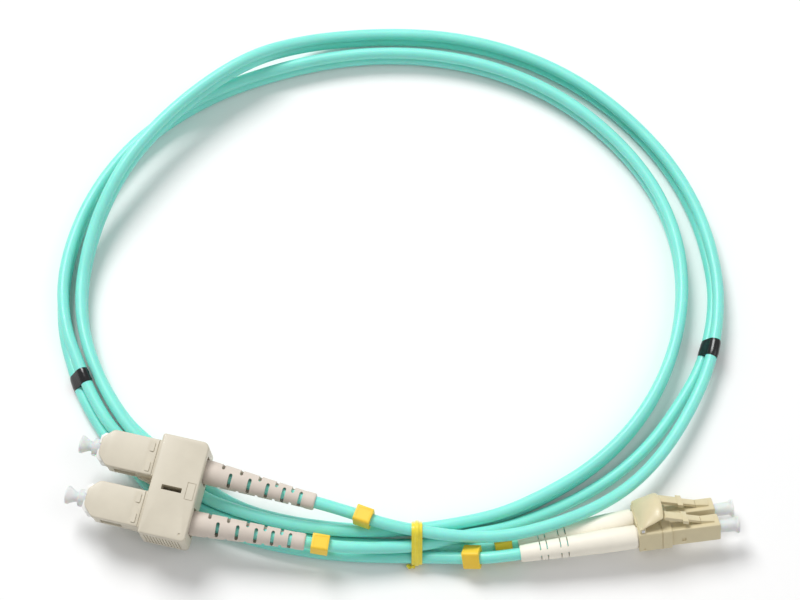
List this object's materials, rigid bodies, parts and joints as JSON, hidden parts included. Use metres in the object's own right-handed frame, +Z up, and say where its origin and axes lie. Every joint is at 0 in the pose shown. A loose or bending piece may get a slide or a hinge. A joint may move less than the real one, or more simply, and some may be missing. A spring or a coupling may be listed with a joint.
{
  "type": "fiber optic patch cord",
  "caption": "Coiled aqua duplex fibre patch cord, a clipped pair of square push-pull plugs at one end and a small latched pair under a shared trigger at the other.",
  "frame": {"origin": "on the surface the cord lies on, under the middle of the box around the two connector ends", "axes": "+X along the two ends from the square plugs to the latched plugs, +Y towards the far side of the coil, +Z up"},
  "size_m": [0.1658, 0.147, 0.0163],
  "materials": {
    "sc_housing": "moulded beige, satin gloss",
    "lc_housing": "moulded warm beige, satin gloss",
    "sc_boot": "soft moulded elastomer, matt",
    "lc_boot": "soft moulded elastomer, matt",
    "plug_frame": "white moulded plastic",
    "dust_cap": "cloudy translucent soft plastic",
    "ferrule_ceramic": "polished zirconia",
    "flange_metal": "turned nickel plated",
    "spring_steel": "bright wire",
    "crimp_brass": "crimped, nickel plated",
    "buffer": "tight buffer",
    "cord_jacket": "aqua low smoke jacket, satin",
    "heat_shrink": "black heat shrink, glossy",
    "marker": "yellow moulded marker",
    "twist_tie": "lemon plastic strip over a wire"
  },
  "bodies": {
    "root": {"band_lc": "heat_shrink", "band_sc": "heat_shrink", "cord_a": "cord_jacket", "cord_b": "cord_jacket", "lc_a_boot": "lc_boot", "lc_a_buffer": "buffer", "lc_a_crimp_ring": "crimp_brass", "lc_a_housing": "lc_housing", "lc_a_jacket_end": "cord_jacket", "lc_a_rear_body": "flange_metal", "lc_a_spring": "spring_steel", "lc_b_boot": "lc_boot", "lc_b_buffer": "buffer", "lc_b_crimp_ring": "crimp_brass", "lc_b_housing": "lc_housing", "lc_b_jacket_end": "cord_jacket", "lc_b_rear_body": "flange_metal", "lc_b_spring": "spring_steel", "lc_clip": "lc_housing", "lc_trigger_pin": "spring_steel", "marker_lc_a": "marker", "marker_lc_b": "marker", "marker_sc_a": "marker", "marker_sc_b": "marker", "sc_a_boot": "sc_boot", "sc_a_buffer": "buffer", "sc_a_crimp_ring": "crimp_brass", "sc_a_jacket_end": "cord_jacket", "sc_a_plug_frame": "plug_frame", "sc_a_rear_body": "flange_metal", "sc_a_spring": "spring_steel", "sc_b_boot": "sc_boot", "sc_b_buffer": "buffer", "sc_b_crimp_ring": "crimp_brass", "sc_b_jacket_end": "cord_jacket", "sc_b_plug_frame": "plug_frame", "sc_b_rear_body": "flange_metal", "sc_b_spring": "spring_steel", "twist_tie": "twist_tie"},
    "sc_grip": {"sc_a_sleeve": "sc_housing", "sc_b_sleeve": "sc_housing", "sc_clip_upper": "sc_housing", "sc_clip_lower": "sc_housing"},
    "sc_a_ferrule_set": {"sc_a_ferrule": "ferrule_ceramic", "sc_a_ferrule_flange": "flange_metal"},
    "sc_a_cap": {"sc_a_dust_cap": "dust_cap"},
    "sc_b_ferrule_set": {"sc_b_ferrule": "ferrule_ceramic", "sc_b_ferrule_flange": "flange_metal"},
    "sc_b_cap": {"sc_b_dust_cap": "dust_cap"},
    "lc_a_ferrule_set": {"lc_a_ferrule": "ferrule_ceramic", "lc_a_ferrule_flange": "flange_metal"},
    "lc_a_cap": {"lc_a_dust_cap": "dust_cap"},
    "lc_a_latch": {"lc_a_latch": "lc_housing"},
    "lc_b_ferrule_set": {"lc_b_ferrule": "ferrule_ceramic", "lc_b_ferrule_flange": "flange_metal"},
    "lc_b_cap": {"lc_b_dust_cap": "dust_cap"},
    "lc_b_latch": {"lc_b_latch": "lc_housing"},
    "lc_trigger": {"lc_trigger": "lc_housing"}
  },
  "joints": [
    {"name": "sc_grip_slide", "type": "slide", "parent": "root", "child": "sc_grip", "axis": [0.9732, -0.23, 0], "range_m": [0, 0.0018]},
    {"name": "sc_a_ferrule_float", "type": "slide", "parent": "root", "child": "sc_a_ferrule_set", "axis": [0.9732, -0.23, 0], "range_m": [0, 0.002], "stiffness_N_per_m": 500, "springref_m": -0.002, "deforming": ["sc_a_spring"]},
    {"name": "sc_a_cap_pull", "type": "slide", "parent": "sc_a_ferrule_set", "child": "sc_a_cap", "axis": [-0.9732, 0.23, 0], "range_m": [0, 0.008]},
    {"name": "sc_b_ferrule_float", "type": "slide", "parent": "root", "child": "sc_b_ferrule_set", "axis": [0.9732, -0.23, 0], "range_m": [0, 0.002], "stiffness_N_per_m": 500, "springref_m": -0.002, "deforming": ["sc_b_spring"]},
    {"name": "sc_b_cap_pull", "type": "slide", "parent": "sc_b_ferrule_set", "child": "sc_b_cap", "axis": [-0.9732, 0.23, 0], "range_m": [0, 0.008]},
    {"name": "lc_a_ferrule_float", "type": "slide", "parent": "root", "child": "lc_a_ferrule_set", "axis": [-0.9917, -0.1288, 0], "range_m": [0, 0.002], "stiffness_N_per_m": 500, "springref_m": -0.002, "deforming": ["lc_a_spring"]},
    {"name": "lc_a_cap_pull", "type": "slide", "parent": "lc_a_ferrule_set", "child": "lc_a_cap", "axis": [0.9917, 0.1288, 0], "range_m": [0, 0.006]},
    {"name": "lc_a_latch_flex", "type": "hinge", "parent": "root", "child": "lc_a_latch", "pos_m": [0.07018, -0.00563, 0.00931], "axis": [0.108, -0.8317, 0.5446], "range_deg": [0, 8.4], "stiffness_Nm_per_rad": 0.005},
    {"name": "lc_b_ferrule_float", "type": "slide", "parent": "root", "child": "lc_b_ferrule_set", "axis": [-0.9917, -0.1288, 0], "range_m": [0, 0.002], "stiffness_N_per_m": 500, "springref_m": -0.002, "deforming": ["lc_b_spring"]},
    {"name": "lc_b_cap_pull", "type": "slide", "parent": "lc_b_ferrule_set", "child": "lc_b_cap", "axis": [0.9917, 0.1288, 0], "range_m": [0, 0.006]},
    {"name": "lc_b_latch_flex", "type": "hinge", "parent": "root", "child": "lc_b_latch", "pos_m": [0.06951, -0.00043, 0.0059], "axis": [0.108, -0.8317, 0.5446], "range_deg": [0, 8.4], "stiffness_Nm_per_rad": 0.005},
    {"name": "lc_trigger_press", "type": "hinge", "parent": "root", "child": "lc_trigger", "pos_m": [0.05612, -0.00449, 0.00811], "axis": [-0.108, 0.8317, -0.5446], "range_deg": [0, 12], "stiffness_Nm_per_rad": 0.01}
  ],
  "couplings": [
    {"joint": "lc_a_latch_flex", "follows": "lc_trigger_press", "ratio": 0.7},
    {"joint": "lc_b_latch_flex", "follows": "lc_trigger_press", "ratio": 0.7}
  ]
}
